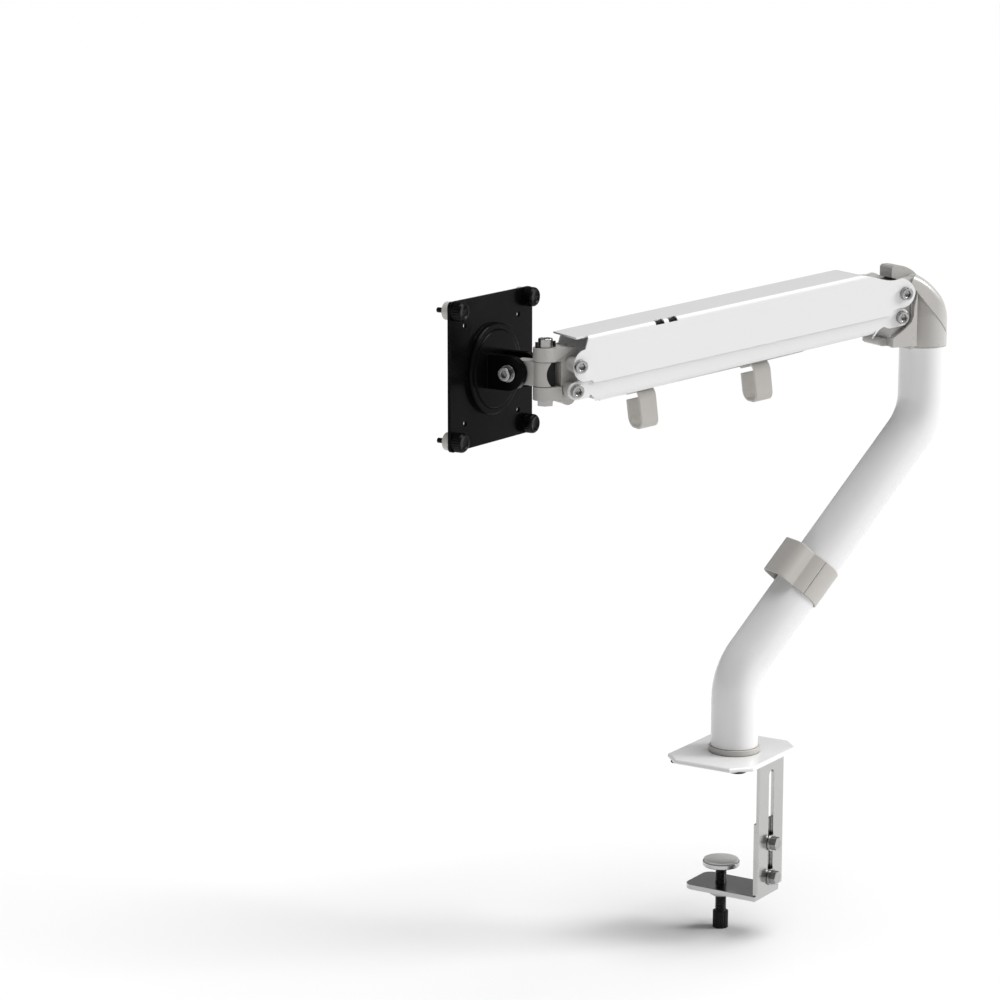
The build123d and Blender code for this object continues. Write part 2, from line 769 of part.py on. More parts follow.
# ================================================================ fork, stays level at the front of the arm
front_s, front_z = front_upper_pivot
front_low_s, front_low_z = front_lower_pivot
fork_boss = 6.0
web_front = swivel_reach + swivel_radius - 0.1
post_inset = 1.6
post_outline = (
    (web_front, fork_low - 5), (front_s + 12, fork_low - 5), (front_s + 12, fork_high),
    (front_s + 2.4, fork_high - 0.3),
    (front_s - 1.2, fork_high - 2.3), (web_front - 6.5, fork_high - lug_height - 0.4),
    (web_front, fork_high - lug_height - 0.4),
)
swivel_pin = 4.0
with BuildPart() as fork:
    with BuildSketch(level_plane(fork_low)):
        with Locations((swivel_reach, 0)):
            Circle(swivel_radius)
            Rectangle(front_s + 9 - swivel_reach, 2 * swivel_radius, align=(Align.MIN, Align.CENTER))
    extrude(amount=fork_high - fork_low)
    with BuildSketch(side_plane(-swivel_radius)):
        with BuildLine():
            Polyline(
                (swivel_reach - 12, fork_low + lug_height),
                (swivel_reach - 12, fork_high - lug_height),
                (web_front, fork_high - lug_height),
                (web_front, fork_low + lug_height),
                (swivel_reach - 12, fork_low + lug_height),
            )
        make_face()
    extrude(amount=2 * swivel_radius, mode=Mode.SUBTRACT)
    with BuildSketch(side_plane(-swivel_radius)):
        with BuildLine():
            Polyline((front_s + 4, fork_high + 1), (front_s + 10, fork_high + 1))
            Line((front_s + 10, fork_high + 1), (front_s + 10, fork_low - 1))
            Polyline((front_s + 10, fork_low - 1), (front_s + 2.5, fork_low - 1), (front_s + 6, front_z - 5))
            Polyline((front_s + 6, front_z - 5), (front_s + 8.6, front_z + 5), (front_s + 4, fork_high + 1))
        make_face()
    extrude(amount=2 * swivel_radius, mode=Mode.SUBTRACT)
    # the post behind the lugs is narrower than they are
    for start in (-swivel_radius - 1, swivel_radius - post_inset):
        with BuildSketch(side_plane(start)):
            Polygon(*post_outline, align=None)
        extrude(amount=post_inset + 1, mode=Mode.SUBTRACT)
    with BuildSketch(side_plane(-inner_half + gap)):
        with Locations(front_upper_pivot):
            Circle(fork_boss)
    extrude(amount=2 * (inner_half - gap))
    with BuildSketch(side_plane(-link_inner + gap)):
        with Locations(front_lower_pivot):
            Circle(fork_boss)
    extrude(amount=2 * (link_inner - gap))
    with BuildSketch(side_plane(-8)):
        with Locations((front_low_s - 0.5, front_low_z - 6)):
            Circle(6.5)
    extrude(amount=16)
    with BuildSketch(level_plane(fork_low - 10)):
        with Locations((swivel_reach, 0)):
            Circle(swivel_pin + running)
    extrude(amount=70, mode=Mode.SUBTRACT)
    with BuildSketch(side_plane(-cover_half_width)):
        with Locations(front_upper_pivot, front_lower_pivot):
            Circle(bush_radius)
    extrude(amount=2 * cover_half_width, mode=Mode.SUBTRACT)
save("fork", fork.part)

save("front_pivot_bolts", Compound([
    pivot_bolt(front_upper_pivot, cover_half_width),
    pivot_bolt(front_lower_pivot, link_half_width),
]))
save("front_pivot_nuts", Compound([
    pivot_nut(front_upper_pivot, cover_half_width),
    pivot_nut(front_lower_pivot, link_half_width),
]))
save("front_bushes", Compound([
    pivot_ring(front_upper_pivot, -inner_half + gap, 2 * (inner_half - gap), bush_radius),
    pivot_ring(front_lower_pivot, -link_inner + gap, 2 * (link_inner - gap), bush_radius),
]))

swivel_head = 7.0
with BuildPart() as swivel_bolt:
    with BuildSketch(level_plane(fork_high + 0.1, swivel_reach)):
        Circle(5.6)
    extrude(amount=swivel_head)
    fillet(swivel_bolt.edges().group_by(Axis.Z)[-1], 0.8)
    with BuildSketch(level_plane(fork_high + 0.1, swivel_reach)):
        Circle(swivel_pin)
    extrude(amount=-(fork_high - fork_low + 5))
    with BuildSketch(level_plane(fork_high + swivel_head - 2.9, swivel_reach)):
        RegularPolygon(2.9, 6)
    extrude(amount=3, mode=Mode.SUBTRACT)
save("swivel_bolt", swivel_bolt.part)

with BuildPart() as swivel_nut:
    with BuildSketch(level_plane(fork_low - 0.1, swivel_reach)):
        RegularPolygon(6.6, 6)
        Circle(swivel_pin, mode=Mode.SUBTRACT)
    extrude(amount=-4.5)
save("swivel_nut", swivel_nut.part)

with BuildPart() as swivel_pins:
    with BuildSketch(level_plane(fork_high, swivel_reach)):
        with Locations((-7.6, 0), (7.6, 0)):
            Circle(1.1)
    extrude(amount=4.5)
save("swivel_pins", swivel_pins.part)

# ================================================================ tilt knuckle, swivels in the fork
knuckle_low = fork_low + lug_height + 0.4
knuckle_high = fork_high - lug_height - 0.4
tilt_half = 8.0
tilt_barrel = 9.2
tilt_pin = 3.0
barrel_rear = 4.8
scallop_floor = 5.8
scallop_radius = 13.0
scallop_centre = (swivel_reach + 9.7, (knuckle_low + knuckle_high) / 2)
wear_pad_thickness = 0.6
with BuildPart() as tilt_knuckle:
    with BuildSketch(Plane(origin=(head_x, swivel_centre.Y, knuckle_low))):
        Circle(swivel_radius - 0.5)
        Rectangle(2 * 6.6, tilt_axis_y - swivel_centre.Y, align=(Align.CENTER, Align.MIN))
    extrude(amount=knuckle_high - knuckle_low)
    with BuildSketch(tilt_plane(-tilt_half)):
        Circle(tilt_barrel)
    extrude(amount=2 * tilt_half)
    with BuildSketch(Plane(origin=(head_x, swivel_centre.Y, knuckle_low - 2))):
        Circle(swivel_pin + 1.2)
    extrude(amount=30, mode=Mode.SUBTRACT)
    with BuildSketch(tilt_plane(-tilt_half)):
        Circle(tilt_pin + running)
    extrude(amount=2 * tilt_half, mode=Mode.SUBTRACT)
    # barrel cut back at the rear, with a round-fronted recess on the near side
    with BuildSketch(side_plane(-swivel_radius)):
        with Locations((swivel_reach + barrel_rear, scallop_centre[1])):
            Rectangle(20, 40, align=(Align.MIN, Align.CENTER))
    extrude(amount=2 * swivel_radius, mode=Mode.SUBTRACT)
    with BuildSketch(side_plane(scallop_floor)):
        with Locations(scallop_centre):
            Circle(scallop_radius)
    extrude(amount=swivel_radius, mode=Mode.SUBTRACT)
save("tilt_knuckle", tilt_knuckle.part)

with BuildPart() as swivel_pad:
    with BuildSketch(side_plane(scallop_floor)):
        with Locations(scallop_centre):
            Circle(scallop_radius - gap)
        with Locations((swivel_reach + barrel_rear, scallop_centre[1])):
            Rectangle(20, knuckle_high - knuckle_low, align=(Align.MAX, Align.CENTER), mode=Mode.INTERSECT)
    extrude(amount=wear_pad_thickness)
save("swivel_pad", swivel_pad.part)

knuckle_span = knuckle_high - knuckle_low
knuckle_seat = level_plane(knuckle_low, swivel_reach)
save("swivel_bush", disc(knuckle_seat, swivel_pin + 1.2, knuckle_span, swivel_pin + running))

# ================================================================ tilt clevis and its disc
cheek_inner_x = tilt_half + 0.2
cheek_outer_x = 14.6
cheek_radius = 13.4
disc_radius = 30.6
disc_back_y = 129.6
hub_radius = 8.0
with BuildPart() as tilt_clevis:
    with BuildSketch(head_plane(disc_back_y)):
        Circle(disc_radius)
    extrude(amount=plate_back_y - gap - disc_back_y)
    fillet(tilt_clevis.edges().group_by(Axis.Y)[0], 1.2)
    with BuildSketch(head_plane(disc_back_y)):
        Circle(hub_radius)
    extrude(amount=plate_back_y + plate_thickness + 0.3 - disc_back_y)
    for x_start in (-cheek_outer_x, cheek_inner_x):
        with BuildSketch(tilt_plane(x_start)):
            Circle(cheek_radius)
            Rectangle(disc_back_y + 1 - tilt_axis_y, 2 * cheek_radius, align=(Align.MIN, Align.CENTER))
            Circle(tilt_pin, mode=Mode.SUBTRACT)
        extrude(amount=cheek_outer_x - cheek_inner_x)
save("tilt_clevis", tilt_clevis.part)

washer_radius = 6.6
with BuildPart() as tilt_bolt:
    with BuildSketch(tilt_plane(-cheek_outer_x - 1.2)):
        Circle(5.3)
    extrude(amount=-5)
    with BuildSketch(tilt_plane(-cheek_outer_x - 1.2 - 5)):
        RegularPolygon(2.9, 6)
    extrude(amount=2.6, mode=Mode.SUBTRACT)
    with BuildSketch(tilt_plane(-cheek_outer_x - 1.2)):
        Circle(tilt_pin)
    extrude(amount=2 * cheek_outer_x + 1.2 + 4.4)
save("tilt_bolt", tilt_bolt.part)
save("tilt_washer", disc(tilt_plane(-cheek_outer_x - 1.2), washer_radius, 1.2, tilt_pin))

with BuildPart() as tilt_nut:
    with BuildSketch(tilt_plane(cheek_outer_x)):
        RegularPolygon(6.2, 6)
        Circle(tilt_pin, mode=Mode.SUBTRACT)
    extrude(amount=4.4)
save("tilt_nut", tilt_nut.part)

# ================================================================ screen plate, rolls on the disc
ring_inner = disc_radius + gap
ring_outer = 35.5
stud_shank = 2.4
stud_radius = 2.0
small_hole = 2.3
spacer_radius = 7.0
with BuildPart() as screen_plate:
    with BuildSketch(head_plane(plate_back_y)):
        RectangleRounded(plate_size, plate_size, 4)
        Circle(hub_radius + running, mode=Mode.SUBTRACT)
        with GridLocations(vesa_pitch, vesa_pitch, 2, 2):
            Circle(stud_shank, mode=Mode.SUBTRACT)
        with GridLocations(vesa_small_pitch, vesa_small_pitch, 2, 2):
            Circle(small_hole, mode=Mode.SUBTRACT)
    extrude(amount=plate_thickness)
    with BuildSketch(head_plane(plate_back_y)):
        Circle(ring_outer)
        Circle(ring_inner, mode=Mode.SUBTRACT)
    extrude(amount=-4)
    fillet(screen_plate.edges().group_by(Axis.Y)[0].sort_by(SortBy.LENGTH)[-1], 1.5)
save("screen_plate", screen_plate.part)

plate_front_y = plate_back_y + plate_thickness
save("roll_nut", disc(head_plane(plate_front_y + 0.3), 12, 3, 3))

spacer_height = 6.0
thumb_radius = 7.6
thumb_height = 8.0
stud_reach = 8.0
with BuildPart() as plate_spacers:
    with BuildSketch(head_plane(plate_front_y)):
        with GridLocations(vesa_pitch, vesa_pitch, 2, 2):
            Circle(spacer_radius)
            Circle(stud_shank, mode=Mode.SUBTRACT)
    extrude(amount=spacer_height)
save("plate_spacers", plate_spacers.part)

with BuildPart() as thumbscrews:
    with BuildSketch(head_plane(plate_back_y - thumb_height)):
        with GridLocations(vesa_pitch, vesa_pitch, 2, 2):
            Circle(thumb_radius)
    extrude(amount=thumb_height)
    chamfer(thumbscrews.edges().group_by(Axis.Y)[0], 1.0)
    with BuildSketch(head_plane(plate_back_y)):
        with GridLocations(vesa_pitch, vesa_pitch, 2, 2):
            Circle(stud_shank)
    extrude(amount=plate_thickness + spacer_height)
    with BuildSketch(head_plane(plate_front_y + spacer_height)):
        with GridLocations(vesa_pitch, vesa_pitch, 2, 2):
            Circle(stud_radius)
    extrude(amount=stud_reach)
save("thumbscrews", thumbscrews.part)
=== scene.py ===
import bpy
import json
from math import cos, sin, pi, radians
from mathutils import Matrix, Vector


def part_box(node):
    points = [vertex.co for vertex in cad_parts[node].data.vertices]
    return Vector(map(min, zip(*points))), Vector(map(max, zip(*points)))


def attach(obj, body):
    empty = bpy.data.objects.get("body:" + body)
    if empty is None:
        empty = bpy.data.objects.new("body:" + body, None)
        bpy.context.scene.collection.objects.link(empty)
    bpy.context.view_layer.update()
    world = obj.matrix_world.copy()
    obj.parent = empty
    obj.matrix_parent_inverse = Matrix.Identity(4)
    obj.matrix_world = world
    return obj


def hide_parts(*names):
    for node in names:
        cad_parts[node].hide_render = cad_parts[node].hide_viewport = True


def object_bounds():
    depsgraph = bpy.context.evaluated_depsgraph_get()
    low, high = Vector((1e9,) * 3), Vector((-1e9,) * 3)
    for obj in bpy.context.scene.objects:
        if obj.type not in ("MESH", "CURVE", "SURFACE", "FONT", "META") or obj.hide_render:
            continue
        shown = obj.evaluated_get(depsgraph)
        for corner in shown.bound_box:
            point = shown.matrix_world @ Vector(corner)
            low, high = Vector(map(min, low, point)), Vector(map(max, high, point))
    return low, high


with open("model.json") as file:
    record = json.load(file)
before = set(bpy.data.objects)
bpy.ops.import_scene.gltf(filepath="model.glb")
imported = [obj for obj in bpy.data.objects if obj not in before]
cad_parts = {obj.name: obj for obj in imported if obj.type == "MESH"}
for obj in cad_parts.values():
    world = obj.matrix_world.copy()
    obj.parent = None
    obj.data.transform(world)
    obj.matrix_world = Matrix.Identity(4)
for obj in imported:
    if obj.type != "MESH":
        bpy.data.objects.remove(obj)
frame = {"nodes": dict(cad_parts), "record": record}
cad_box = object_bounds()
record = frame["record"]
nodes = frame["nodes"]
joints = {joint["name"]: joint for joint in record["behaviour"]["joints"]}
body_of_node = {
    node: body for body, members in record["behaviour"]["bodies"].items() for node in members
}
slot_of_node = {entry["node"]: entry["material_slot"] for entry in record["subparts"]}

# ---------------------------------------------------------------- camera
camera_place = (-2.183, -1.1917, 0.7118)
degrees_down = 11.45
degrees_turned = -57.03
camera_data = bpy.data.cameras.new("photo_camera")
camera_data.lens = 115.2
camera_data.sensor_width = 36.0
camera_data.clip_end = 200.0
camera = bpy.data.objects.new("photo_camera", camera_data)
bpy.context.scene.collection.objects.link(camera)
camera.location = camera_place
camera.rotation_euler = (radians(90.0 - degrees_down), 0.0, radians(degrees_turned))
bpy.context.scene.camera = camera


# ---------------------------------------------------------------- materials
class Nodes:
    """Small helper that adds and joins shader nodes in one material."""

    def __init__(self, name):
        self.material = bpy.data.materials.new(name)
        self.material.use_nodes = True
        self.tree = self.material.node_tree
        self.shader = self.tree.nodes["Principled BSDF"]
        self.place = self.add("ShaderNodeTexCoord").outputs["Object"]

    def add(self, kind, **values):
        node = self.tree.nodes.new(kind)
        for key, value in values.items():
            setattr(node, key, value)
        return node

    def join(self, source, target):
        self.tree.links.new(source, target)

    def noise(self, scale, detail=3.0, stretch=None):
        """Noise over the surface at real scale, optionally drawn out along one axis."""
        node = self.add("ShaderNodeTexNoise")
        node.inputs["Scale"].default_value = scale
        node.inputs["Detail"].default_value = detail
        where = self.place
        if stretch:
            mapping = self.add("ShaderNodeMapping")
            mapping.inputs["Scale"].default_value = stretch
            self.join(self.place, mapping.inputs["Vector"])
            where = mapping.outputs["Vector"]
        self.join(where, node.inputs["Vector"])
        return node.outputs["Fac"]

    def spread(self, value, low, high, from_low=0.3, from_high=0.7):
        """Maps a noise value to a range."""
        node = self.add("ShaderNodeMapRange")
        node.inputs["From Min"].default_value = from_low
        node.inputs["From Max"].default_value = from_high
        node.inputs["To Min"].default_value = low
        node.inputs["To Max"].default_value = high
        self.join(value, node.inputs["Value"])
        return node.outputs["Result"]

    def mix(self, factor, first, second):
        """Colour between first and second; each is a colour or an output."""
        node = self.add("ShaderNodeMix", data_type="RGBA")
        self.join(factor, node.inputs["Factor"])
        for key, value in (("A", first), ("B", second)):
            socket = [s for s in node.inputs if s.name == key and s.type == "RGBA"][0]
            if isinstance(value, tuple):
                socket.default_value = (*value, 1.0)
            else:
                self.join(value, socket)
        return [s for s in node.outputs if s.type == "RGBA"][0]

    def times(self, first, second):
        node = self.add("ShaderNodeMath", operation="MULTIPLY")
        self.join(first, node.inputs[0])
        self.join(second, node.inputs[1])
        return node.outputs[0]

    def edge_mask(self, radius):
        """One on edges, nought on flats, found from how far the rounded normal leans."""
        rounded = self.add("ShaderNodeBevel", samples=6)
        rounded.inputs["Radius"].default_value = radius
        plain = self.add("ShaderNodeNewGeometry")
        dot = self.add("ShaderNodeVectorMath", operation="DOT_PRODUCT")
        self.join(rounded.outputs["Normal"], dot.inputs[0])
        self.join(plain.outputs["Normal"], dot.inputs[1])
        return self.spread(dot.outputs["Value"], 1.0, 0.0, 0.82, 0.99)

    def painted_hollow_shade(self, distance):
        """One deep in a hollow, nought in the open: an ambient-occlusion mask that paints shade into the
        colour where shade falls.
        """
        node = self.add("ShaderNodeAmbientOcclusion", samples=8)
        node.inputs["Distance"].default_value = distance
        return self.spread(node.outputs["AO"], 1.0, 0.0, 0.12, 0.62)

    def bump(self, height, strength, distance, under=None):
        node = self.add("ShaderNodeBump")
        node.inputs["Strength"].default_value = strength
        node.inputs["Distance"].default_value = distance
        self.join(height, node.inputs["Height"])
        if under is not None:
            self.join(under, node.inputs["Normal"])
        return node.outputs["Normal"]


def shade(value, factor):
    return tuple(min(channel * factor, 1.0) for channel in value)


soft_edge = 0.0004
worn_edge = 0.0011
brushing_depth = 0.00003


def make_surface(name, base, rough, metallic=0.0, vary=0.04, patch=26.0, grain=900.0,
                 grain_depth=0.00004, rough_spread=0.08, worn=None, wear=0.5, coat=0.0, stretch=None,
                 stretch_grain=0.0, specular=0.5, painted_hollow_shade=0.0, painted_shade_factor=0.3):
    """A finished surface: cloudy colour, fine grain, uneven gloss, worn edges and painted shade darkening
    its hollows and gaps.
    """
    n = Nodes(name)
    n.shader.inputs["Metallic"].default_value = metallic
    n.shader.inputs["Coat Weight"].default_value = coat
    n.shader.inputs["Coat Roughness"].default_value = 0.12
    n.shader.inputs["Specular IOR Level"].default_value = specular
    cloud = n.spread(n.noise(patch, 5.0), 0.0, 1.0)
    colour = n.mix(cloud, shade(base, 1.0 - vary), shade(base, 1.0 + vary))
    if worn:
        patchy = n.spread(n.noise(patch * 9.0, 4.0), 0.0, wear, 0.45, 0.65)
        colour = n.mix(n.times(n.edge_mask(worn_edge), patchy), colour, worn)
    # Painted shade: where ambient occlusion finds a hollow, gap or crease, the colour is darkened towards
    # a fraction of the base colour.
    if painted_hollow_shade:
        colour = n.mix(n.painted_hollow_shade(painted_hollow_shade), colour, shade(base, painted_shade_factor))
    n.join(colour, n.shader.inputs["Base Color"])
    gloss = n.spread(n.noise(patch * 2.3, 6.0), rough - rough_spread, rough + rough_spread)
    n.join(gloss, n.shader.inputs["Roughness"])
    edge = n.add("ShaderNodeBevel", samples=6)
    edge.inputs["Radius"].default_value = soft_edge
    normal = n.bump(n.noise(grain, 2.0), 0.35, grain_depth, edge.outputs["Normal"])
    if stretch:
        normal = n.bump(n.noise(stretch_grain, 3.0, stretch), 0.25, brushing_depth, normal)
    n.join(normal, n.shader.inputs["Normal"])
    return n.material


# Surfaces given a hollow reach and factor get painted shade darkening their hollows, gaps and creases.
surfaces = {
    "white_paint": make_surface(
        "white_powder_coat", (0.80, 0.80, 0.80), 0.26, vary=0.004, grain=1400.0,
        grain_depth=0.00005, rough_spread=0.012, worn=(0.66, 0.65, 0.63), wear=0.22,
        coat=0.25, painted_hollow_shade=0.0035, painted_shade_factor=0.22,
    ),
    "grey_paint": make_surface(
        "grey_cast_paint", (0.47, 0.455, 0.435), 0.30, vary=0.02, grain=1000.0,
        grain_depth=0.00009, worn=(0.72, 0.71, 0.69), wear=0.45,
        coat=0.1, painted_hollow_shade=0.005, painted_shade_factor=0.18,
    ),
    "black_paint": make_surface(
        "black_powder_coat", (0.0022, 0.0022, 0.0023), 0.22, vary=0.25, grain=1500.0,
        grain_depth=0.00003, rough_spread=0.04, worn=(0.04, 0.04, 0.04), wear=0.4, specular=0.045,
    ),
    "zinc": make_surface(
        "zinc_plate", (0.40, 0.395, 0.39), 0.27, metallic=1.0, vary=0.08, patch=60.0, grain=1800.0,
        worn=(0.80, 0.80, 0.79), wear=0.6, stretch=(1.0, 1.0, 30.0), stretch_grain=120.0,
        painted_hollow_shade=0.004, painted_shade_factor=0.10,
    ),
    "black_steel": make_surface(
        "black_oxide", (0.012, 0.012, 0.013), 0.32, metallic=0.4, vary=0.3, patch=50.0,
        worn=(0.16, 0.16, 0.16), wear=0.5, specular=0.25,
    ),
    "silver_bracket": make_surface(
        "plated_plate", (0.50, 0.50, 0.495), 0.24, metallic=1.0, vary=0.03, patch=18.0,
        grain=1200.0, worn=(0.92, 0.92, 0.92), wear=0.4, stretch=(40.0, 40.0, 1.0),
        stretch_grain=30.0, painted_hollow_shade=0.005, painted_shade_factor=0.2,
    ),
    "grey_plastic": make_surface(
        "grey_nylon", (0.50, 0.48, 0.455), 0.42, vary=0.02, grain=700.0,
        grain_depth=0.00008, worn=(0.62, 0.60, 0.58), wear=0.4, painted_hollow_shade=0.005, painted_shade_factor=0.25,
    ),
    "black_plastic": make_surface(
        "black_nylon", (0.008, 0.008, 0.008), 0.45, vary=0.25, grain=700.0,
        grain_depth=0.0001, worn=(0.05, 0.05, 0.05), wear=0.5, specular=0.2,
    ),
    "natural_nylon": make_surface(
        "natural_nylon", (0.74, 0.72, 0.66), 0.45, vary=0.03, grain=600.0,
        worn=(0.60, 0.58, 0.52), wear=0.4,
    ),
    "pale_pad": make_surface(
        "pale_rubber", (0.78, 0.78, 0.76), 0.75, vary=0.05, patch=90.0, grain=420.0,
        grain_depth=0.0003, worn=(0.66, 0.65, 0.63), wear=0.4, specular=0.25,
    ),
    "foam_pad": make_surface(
        "foam_pad", (0.03, 0.03, 0.031), 0.85, vary=0.3, patch=90.0, grain=420.0,
        grain_depth=0.0004, specular=0.25,
    ),
    "screw_plastic": make_surface(
        "black_gloss_nylon", (0.0035, 0.0035, 0.0035), 0.22, vary=0.3, grain=1100.0,
        grain_depth=0.00004, worn=(0.05, 0.05, 0.05), wear=0.4, specular=0.10,
    ),
}


def finish_with(piece, slot):
    """Gives an object the one surface of its record slot."""
    piece.data.materials.clear()
    piece.data.materials.append(surfaces[slot])


# ---------------------------------------------------------------- mesh helpers
def new_piece(name, verts, faces, node, smooth_angle=35.0):
    """Adds a mesh piece that stands for a CAD node, rides its body and takes its slot."""
    mesh = bpy.data.meshes.new(name)
    mesh.from_pydata([tuple(v) for v in verts], [], faces)
    mesh.validate()
    mesh.update()
    piece = bpy.data.objects.new(name, mesh)
    bpy.context.scene.collection.objects.link(piece)
    mesh.shade_smooth()
    mesh.set_sharp_from_angle(angle=radians(smooth_angle))
    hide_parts(node)
    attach(piece, body_of_node[node])
    finish_with(piece, slot_of_node[node])
    return piece


def axis_frame(axis):
    """Two directions square to an axis."""
    axis = Vector(axis).normalized()
    guide = Vector((0, 0, 1)) if abs(axis.z) < 0.9 else Vector((1, 0, 0))
    first = guide.cross(axis).normalized()
    return axis, first, axis.cross(first)


def ring_radius(kind, radius, angle):
    """Radius of a round ring, or of a hexagon of that corner radius, at an angle."""
    if kind == "hex":
        local = (angle % (pi / 3)) - pi / 6
        return radius * cos(pi / 6) / cos(local)
    return radius


def turned(rings, origin, axis, count=72, ribs=0, rib_depth=0.0, rib_span=(0.0, 0.0)):
    """Closed turned piece. Each ring is (radius, distance along the axis, kind).

    Ribs cut the rings of kind rib that lie inside rib_span.
    """
    axis, first, second = axis_frame(axis)
    verts = []
    faces = []
    for radius, distance, kind in rings:
        for k in range(count):
            angle = 2 * pi * k / count
            r = ring_radius(kind, radius, angle)
            if kind == "rib" and rib_span[0] <= distance <= rib_span[1]:
                r -= rib_depth * (0.5 - 0.5 * cos(ribs * angle))
            outward = first * (r * cos(angle)) + second * (r * sin(angle))
            verts.append(Vector(origin) + axis * distance + outward)
    for i in range(len(rings) - 1):
        for k in range(count):
            a = i * count + k
            b = i * count + (k + 1) % count
            faces.append((a, b, b + count, a + count))
    faces.append(tuple(reversed(range(count))))
    last = (len(rings) - 1) * count
    faces.append(tuple(range(last, last + count)))
    return verts, faces


def joined(parts):
    """One vertex and face list from several."""
    verts = []
    faces = []
    for part_verts, part_faces in parts:
        start = len(verts)
        verts.extend(part_verts)
        faces.extend(tuple(index + start for index in face) for face in part_faces)
    return verts, faces


weld_distance = 0.000004
flat_angle = 0.8
edge_angle = 32.0


def rounded(name, width, segments):
    """Rounds the edges of a carried-over CAD node by a real edge radius."""
    piece = nodes[name]
    weld = piece.modifiers.new("weld", "WELD")
    weld.merge_threshold = weld_distance
    flats = piece.modifiers.new("flats", "DECIMATE")
    flats.decimate_type = "DISSOLVE"
    flats.angle_limit = radians(flat_angle)
    bevel = piece.modifiers.new("edges", "BEVEL")
    bevel.width = width
    bevel.segments = segments
    bevel.limit_method = "ANGLE"
    bevel.angle_limit = radians(edge_angle)
    bevel.harden_normals = True
    bevel.miter_outer = "MITER_ARC"
    normal = piece.modifiers.new("normals", "WEIGHTED_NORMAL")
    normal.keep_sharp = True


for name, piece in nodes.items():
    finish_with(piece, slot_of_node[name])

# ---------------------------------------------------------------- turned details
across = -Vector(joints["arm_lift"]["axis"]).normalized()
rear_upper = Vector(joints["arm_lift"]["pos_m"])
rear_lower = Vector(joints["link_lift"]["pos_m"])
front_upper = Vector(joints["fork_level"]["pos_m"])
front_lower = front_upper + rear_lower - rear_upper


head_radius = 0.0052
head_height = 0.0034
shank_radius = 0.0030
socket = 0.0029
chamfer = 0.0005
knurl_count = 32
knurl_depth = 0.00012


def socket_bolt(seat, head_axis, shank_length):
    """Socket screw: knurled head with a hexagon recess, washer face and a chamfered shank."""
    rings = [
        (shank_radius - 0.0004, -shank_length, ""),
        (shank_radius, -shank_length + 0.0004, ""),
        (shank_radius, 0.0, ""),
        (head_radius - chamfer * 0.4, 0.0, ""),
        (head_radius, chamfer * 0.4, ""),
        (head_radius, chamfer * 1.2, "rib"),
        (head_radius, head_height - chamfer * 1.6, "rib"),
        (head_radius, head_height - chamfer, ""),
        (head_radius - chamfer * 0.3, head_height - chamfer * 0.3, ""),
        (head_radius - chamfer, head_height, ""),
        (socket + 0.0005, head_height, ""),
        (socket, head_height - 0.0004, "hex"),
        (socket * 0.98, head_height - 0.0023, "hex"),
        (socket * 0.5, head_height - 0.0029, ""),
    ]
    return turned(rings, seat, head_axis, 96, knurl_count, knurl_depth, (0.0, head_height))


def pivot_cap(seat, axis):
    """Plain round cap on a pivot screw's far end."""
    rings = [
        (shank_radius, 0.0, ""),
        (head_radius - 0.0003, 0.0, ""),
        (head_radius, 0.0003, ""),
        (head_radius, head_height - 0.0009, ""),
        (head_radius - 0.0006, head_height - 0.0002, ""),
        (shank_radius + 0.0006, head_height, ""),
        (shank_radius, head_height, ""),
    ]
    return turned(rings, seat, axis)


cover_half_width = 0.0221
link_half_width = 0.0204
for end, upper, lower in (("front", front_upper, front_lower), ("rear", rear_upper, rear_lower)):
    screws = []
    caps = []
    for point, half in ((upper, cover_half_width), (lower, link_half_width)):
        screws.append(socket_bolt(point + across * half, across, 2 * half + head_height))
        caps.append(pivot_cap(point - across * half, -across))
    new_piece(end + "_pivot_screws", *joined(screws), end + "_pivot_bolts")
    new_piece(end + "_pivot_caps", *joined(caps), end + "_pivot_nuts")

# thumbscrews through the plate's corners
low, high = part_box("thumbscrews")
grip = 0.0076
grip_ribs = 24
grip_rib_depth = 0.0006
plate_thickness = 0.0026
stud_radius = 0.0020
stud_length = 0.0166
collar_radius = 0.0024
collar_length = 0.0086
recess_radius = 0.0012
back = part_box("screen_plate")[1][1] - plate_thickness
grip_height = back - low[1]
parts = []
for x in (low[0] + grip, high[0] - grip):
    for z in (low[2] + grip, high[2] - grip):
        rings = [
            (stud_radius - 0.0004, -stud_length, ""),
            (stud_radius, -stud_length + 0.0004, ""),
            (stud_radius, -collar_length, ""),
            (collar_radius, -collar_length, ""),
            (collar_radius, 0.0, ""),
            (grip - 0.0008, 0.0, ""),
            (grip - 0.0002, 0.0004, ""),
            (grip, 0.0012, "rib"),
            (grip, grip_height - 0.0022, "rib"),
            (grip - 0.0003, grip_height - 0.0012, ""),
            (grip - 0.0010, grip_height - 0.0003, ""),
            (grip - 0.0018, grip_height, ""),
            (grip - 0.0026, grip_height - 0.0002, ""),
            (grip - 0.0034, grip_height - 0.0007, ""),
            (recess_radius, grip_height - 0.0009, ""),
        ]
        span = (0.0, grip_height)
        parts.append(turned(rings, (x, back, z), (0, -1, 0), 120, grip_ribs, grip_rib_depth, span))
new_piece("plate_thumbscrews", *joined(parts), "thumbscrews", smooth_angle=40.0)

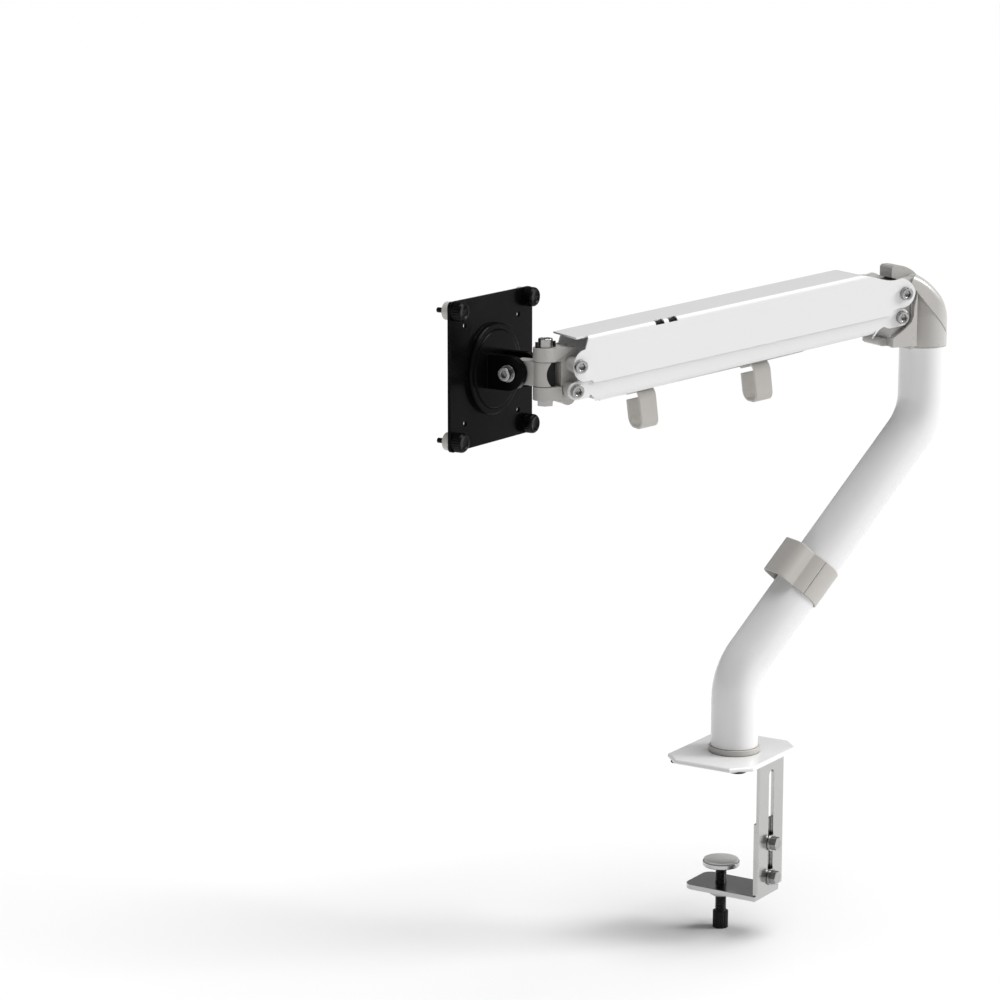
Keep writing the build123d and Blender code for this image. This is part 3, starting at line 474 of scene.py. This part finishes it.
# clamp screw: a real thread under a turned tip
low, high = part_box("clamp_screw")
centre = Vector(((low[0] + high[0]) / 2, (low[1] + high[1]) / 2, low[2]))
radius = (high[0] - low[0]) / 2
length = high[2] - low[2]
pitch = 0.0015
thread_depth = 0.00062
flank_power = 0.8
tip_length = 0.0008
steps = 8
count = 48
rows = int(length / pitch * steps)
verts = []
faces = []
for i in range(rows + 1):
    z = length * i / rows
    for k in range(count):
        turn = (z / pitch - k / count) % 1.0
        depth = thread_depth * abs(2 * turn - 1) ** flank_power
        tip = max(0.0, z - (length - tip_length))
        r = radius - depth - tip
        angle = 2 * pi * k / count
        verts.append((centre.x + r * cos(angle), centre.y + r * sin(angle), centre.z + z))
for i in range(rows):
    for k in range(count):
        a = i * count + k
        b = i * count + (k + 1) % count
        faces.append((a, b, b + count, a + count))
faces.append(tuple(reversed(range(count))))
faces.append(tuple(range(rows * count, rows * count + count)))
new_piece("clamp_thread", verts, faces, "clamp_screw", smooth_angle=70.0)

# ---------------------------------------------------------------- carried-over nodes with real edge radii
edge_radii = {
    "upper_cover": (0.0009, 3), "lower_link": (0.0007, 3), "elbow_knuckle": (0.0012, 3),
    "fork": (0.0011, 3), "tilt_knuckle": (0.0010, 3), "tilt_clevis": (0.0009, 3),
    "screen_plate": (0.0007, 3), "base_plate": (0.0008, 3), "upper_bracket": (0.0006, 2),
    "lower_jaw": (0.0006, 2), "front_cable_clip": (0.0006, 2), "rear_cable_clip": (0.0006, 2),
    "collar_back": (0.0006, 2), "collar_front": (0.0006, 2), "base_collar": (0.0006, 2),
    "clamp_knob": (0.0005, 2), "plate_spacers": (0.0005, 2), "jaw_bolts": (0.0004, 2),
    "jaw_nuts": (0.0004, 2), "swivel_bolt": (0.0004, 2), "swivel_nut": (0.0004, 2),
    "tilt_bolt": (0.0004, 2), "tilt_nut": (0.0004, 2), "tilt_washer": (0.0002, 2),
    "clamp_nut": (0.0004, 2), "pressure_pad": (0.0004, 2),
}
for name, (width, segments) in edge_radii.items():
    rounded(name, width, segments)

# ---------------------------------------------------------------- floor and light
lowest = cad_box[0][2]
reach = 60.0
corners = [(-reach, -reach), (reach, -reach), (reach, reach), (-reach, reach)]
floor_mesh = bpy.data.meshes.new("studio_floor")
floor_mesh.from_pydata([(x, y, lowest) for x, y in corners], [], [(0, 1, 2, 3)])
floor_piece = bpy.data.objects.new("studio_floor", floor_mesh)
bpy.context.scene.collection.objects.link(floor_piece)
floor_material = bpy.data.materials.new("studio_floor")
floor_material.use_nodes = True
floor_shader = floor_material.node_tree.nodes["Principled BSDF"]
floor_shader.inputs["Base Color"].default_value = (0.82, 0.82, 0.82, 1)
floor_shader.inputs["Roughness"].default_value = 0.9
floor_mesh.materials.append(floor_material)

world = bpy.data.worlds.new("studio")
world.use_nodes = True
background = world.node_tree.nodes["Background"]
background.inputs["Color"].default_value = (1.0, 1.0, 1.0, 1)
background.inputs["Strength"].default_value = 0.22
bpy.context.scene.world = world
bpy.context.scene.view_settings.view_transform = "Standard"

right = Vector((0.544, -0.839, 0.0))
away = Vector((0.839, 0.544, 0.0))


def soft_sun(name, towards_camera_right, away_from_camera, height, strength, softness):
    """A soft distant lamp shining from that side of the object."""
    lamp_data = bpy.data.lights.new(name, "SUN")
    lamp_data.energy = strength
    lamp_data.angle = radians(softness)
    lamp = bpy.data.objects.new(name, lamp_data)
    bpy.context.scene.collection.objects.link(lamp)
    place = right * towards_camera_right + away * away_from_camera + Vector((0, 0, height))
    lamp.rotation_euler = (-place).to_track_quat("-Z", "Y").to_euler()


soft_sun("key", 0.90, 0.02, 0.42, 2.1, 22)
soft_sun("top", 0.25, 0.0, 0.97, 2.45, 45)
